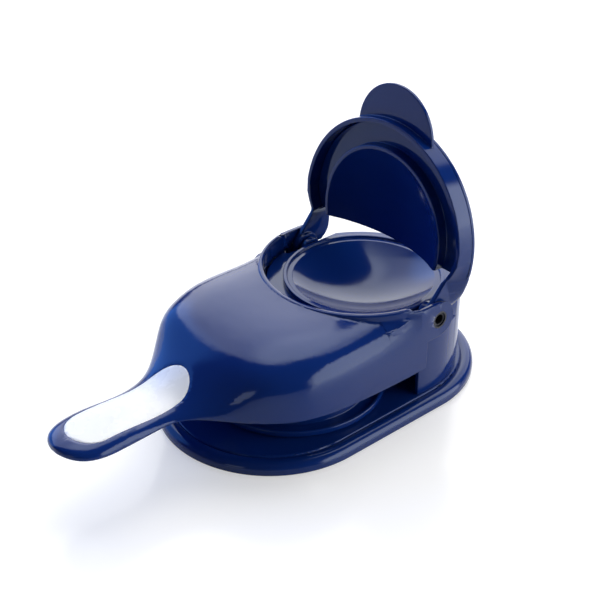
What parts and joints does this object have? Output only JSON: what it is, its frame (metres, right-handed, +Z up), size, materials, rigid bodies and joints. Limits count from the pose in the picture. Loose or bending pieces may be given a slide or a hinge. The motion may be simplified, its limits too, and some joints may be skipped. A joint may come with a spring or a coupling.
{
  "type": "empanada press",
  "caption": "Hand-operated empanada press: oval base with a round moulding tower, a hinged lever shell that flattens dough, and a hinged half-round folding lid.",
  "frame": {"origin": "centre of the whole object's box at its lowest plane, the undersides of the rubber feet", "axes": "+Z up, the lever's handle points along -X, the tower and the lid stand towards +X, the hinge runs along Y"},
  "size_m": [0.2734, 0.128, 0.167],
  "materials": {
    "blue_shell": "glossy moulded navy blue",
    "white_inlay": "smooth white, satin gloss",
    "dark_plastic": "dark blue-black, slightly matt",
    "steel": "bright screws",
    "rubber": "black rubber"
  },
  "bodies": {
    "base": {"base_plate": "blue_shell", "base_bottom_cover": "dark_plastic", "rubber_feet": "rubber", "cover_screws": "steel", "tower_housing": "blue_shell", "tower_screws": "steel", "mould_tray": "blue_shell", "tray_screws": "steel", "dough_anvil": "blue_shell", "anvil_screws": "steel", "hinge_pins": "dark_plastic"},
    "lever": {"lever_shell": "blue_shell", "ear_bushes": "dark_plastic", "press_plunger": "blue_shell", "plunger_carrier": "dark_plastic", "plunger_screws": "steel", "grip_inlay": "white_inlay", "handle_under_cover": "blue_shell", "handle_screws": "steel"},
    "lid": {"lid_frame": "blue_shell", "arm_bushes": "dark_plastic", "lid_mould": "blue_shell", "lid_back_cover": "blue_shell", "lid_screws": "steel"}
  },
  "joints": [
    {"name": "lever_hinge", "type": "hinge", "parent": "base", "child": "lever", "pos_m": [0.07275, 0, 0.0548], "axis": [0, 1, 0], "range_deg": [0, 28]},
    {"name": "lid_hinge", "type": "hinge", "parent": "lever", "child": "lid", "pos_m": [0.07275, 0, 0.0548], "axis": [0, -1, 0], "range_deg": [0, 70]}
  ]
}
